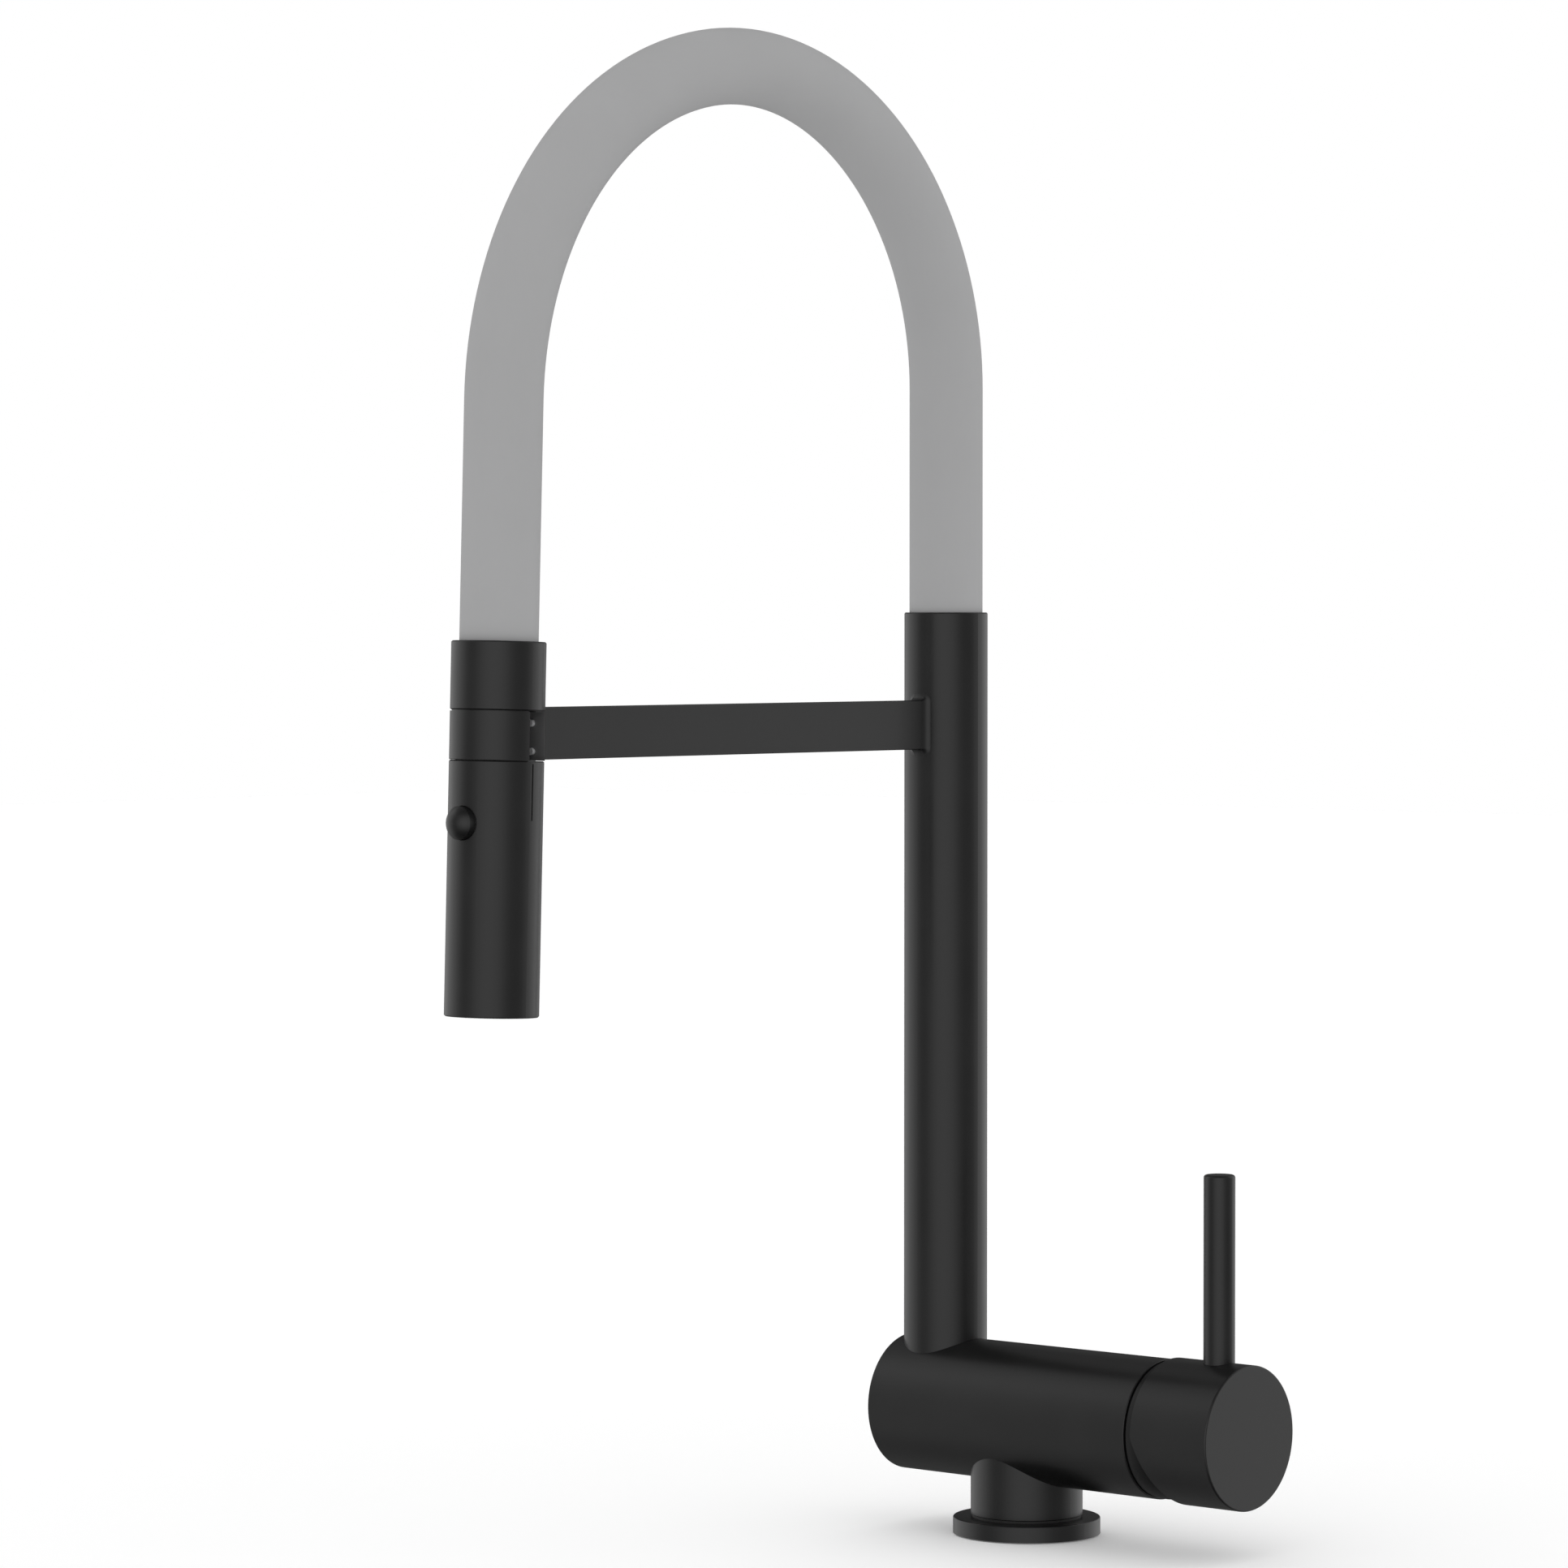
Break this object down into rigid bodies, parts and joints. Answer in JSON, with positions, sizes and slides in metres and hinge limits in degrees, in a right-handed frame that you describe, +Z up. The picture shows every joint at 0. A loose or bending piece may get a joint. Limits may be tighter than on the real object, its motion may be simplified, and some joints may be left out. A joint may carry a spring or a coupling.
{
  "type": "under-window kitchen faucet",
  "caption": "Tall kitchen mixer with a soft hose arch, a handset docked on a side arm, a lever on a horizontal barrel, and a body that lifts off its base so a window can open.",
  "frame": {"origin": "centre of the base flange's underside, on the worktop", "axes": "+Z up along the column, +X along the barrel towards the lever, -Y towards the user and the handset"},
  "size_m": [0.1457, 0.2652, 0.5041],
  "materials": {
    "matte_black": "satin black coating",
    "dark_ring": "satin black coating",
    "grey_hose": "smooth matte grey sleeve",
    "rubber_seal": "matte",
    "inner_hose": "smooth",
    "steel": "turned",
    "magnet": "plated",
    "brass_part": "turned",
    "inner_plastic": "moulded",
    "ceramic": "lapped",
    "black_plastic": "moulded"
  },
  "bodies": {
    "base": {"base_flange": "matte_black", "base_gasket": "rubber_seal", "swivel_stop_pin": "steel", "bush_circlip": "steel"},
    "swivel": {"swivel_bush": "black_plastic", "grip_ring": "rubber_seal"},
    "tap_body": {"body_barrel": "matte_black", "barrel_end_plug": "matte_black", "plug_seal": "rubber_seal", "inlet_manifold": "inner_plastic", "column_nipple": "brass_part", "column_tube": "matte_black", "column_foot_plug": "brass_part", "sleeve_seat": "inner_plastic", "dock_arm": "matte_black", "dock_block": "matte_black", "dock_magnet": "magnet", "dock_pins": "steel", "cartridge_base": "inner_plastic", "port_seals": "rubber_seal", "fixed_disc": "ceramic", "cartridge_shell": "inner_plastic", "cartridge_nut": "brass_part", "bonnet_ring": "dark_ring", "hose_sleeve": "grey_hose", "support_spring": "steel", "water_hose": "inner_hose"},
    "rotor": {"cartridge_rotor": "inner_plastic", "rotor_pin": "steel"},
    "mixing_disc": {"moving_disc": "ceramic", "disc_carrier": "inner_plastic"},
    "lever": {"cartridge_stem": "brass_part", "handle_cap": "matte_black", "lever_rod": "matte_black", "cap_grub_screw": "steel"},
    "hose_end": {"dock_carrier": "matte_black", "keeper_plate": "steel", "hose_collar": "matte_black", "hose_ferrule": "brass_part", "check_valve": "inner_plastic", "swivel_seals": "rubber_seal", "swivel_clip": "steel"},
    "handset": {"handset_shell": "matte_black", "waterway_core": "inner_plastic", "spray_plate": "black_plastic", "nozzle_pad": "rubber_seal", "aerator": "black_plastic", "button_spring": "steel"},
    "button": {"spray_button": "matte_black", "button_seal": "rubber_seal"}
  },
  "joints": [
    {"name": "base_swivel", "type": "hinge", "parent": "base", "child": "swivel", "pos_m": [0, 0, 0], "axis": [0, 0, 1], "range_deg": [-60, 60]},
    {"name": "lift_off", "type": "slide", "parent": "swivel", "child": "tap_body", "axis": [0, 0, 1], "range_m": [0, 0.03]},
    {"name": "lever_temperature", "type": "hinge", "parent": "tap_body", "child": "rotor", "pos_m": [0.0633, 0, 0.0405], "axis": [1, 0, 0], "range_deg": [-50, 50]},
    {"name": "lever_flow", "type": "hinge", "parent": "rotor", "child": "lever", "pos_m": [0.0633, 0, 0.0405], "axis": [0, 1, 0], "range_deg": [0, 20]},
    {"name": "disc_slide", "type": "slide", "parent": "rotor", "child": "mixing_disc", "axis": [0, 0, 1], "range_m": [0, 0.005]},
    {"name": "handset_undock", "type": "slide", "parent": "tap_body", "child": "hose_end", "axis": [0, -1, 0], "range_m": [0, 0.035], "deforming": ["hose_sleeve", "support_spring", "water_hose"]},
    {"name": "handset_swivel", "type": "hinge", "parent": "hose_end", "child": "handset", "pos_m": [-0.036, -0.22, 0.274], "axis": [0, 0.0305, 0.9995], "continuous": true},
    {"name": "spray_button", "type": "slide", "parent": "handset", "child": "button", "axis": [0, 0.9995, -0.0305], "range_m": [0, 0.0015], "stiffness_N_per_m": 300, "springref_m": -0.002, "deforming": ["button_spring"]}
  ],
  "couplings": [
    {"joint": "disc_slide", "follows": "lever_flow", "m_per_rad": 0.0142}
  ]
}
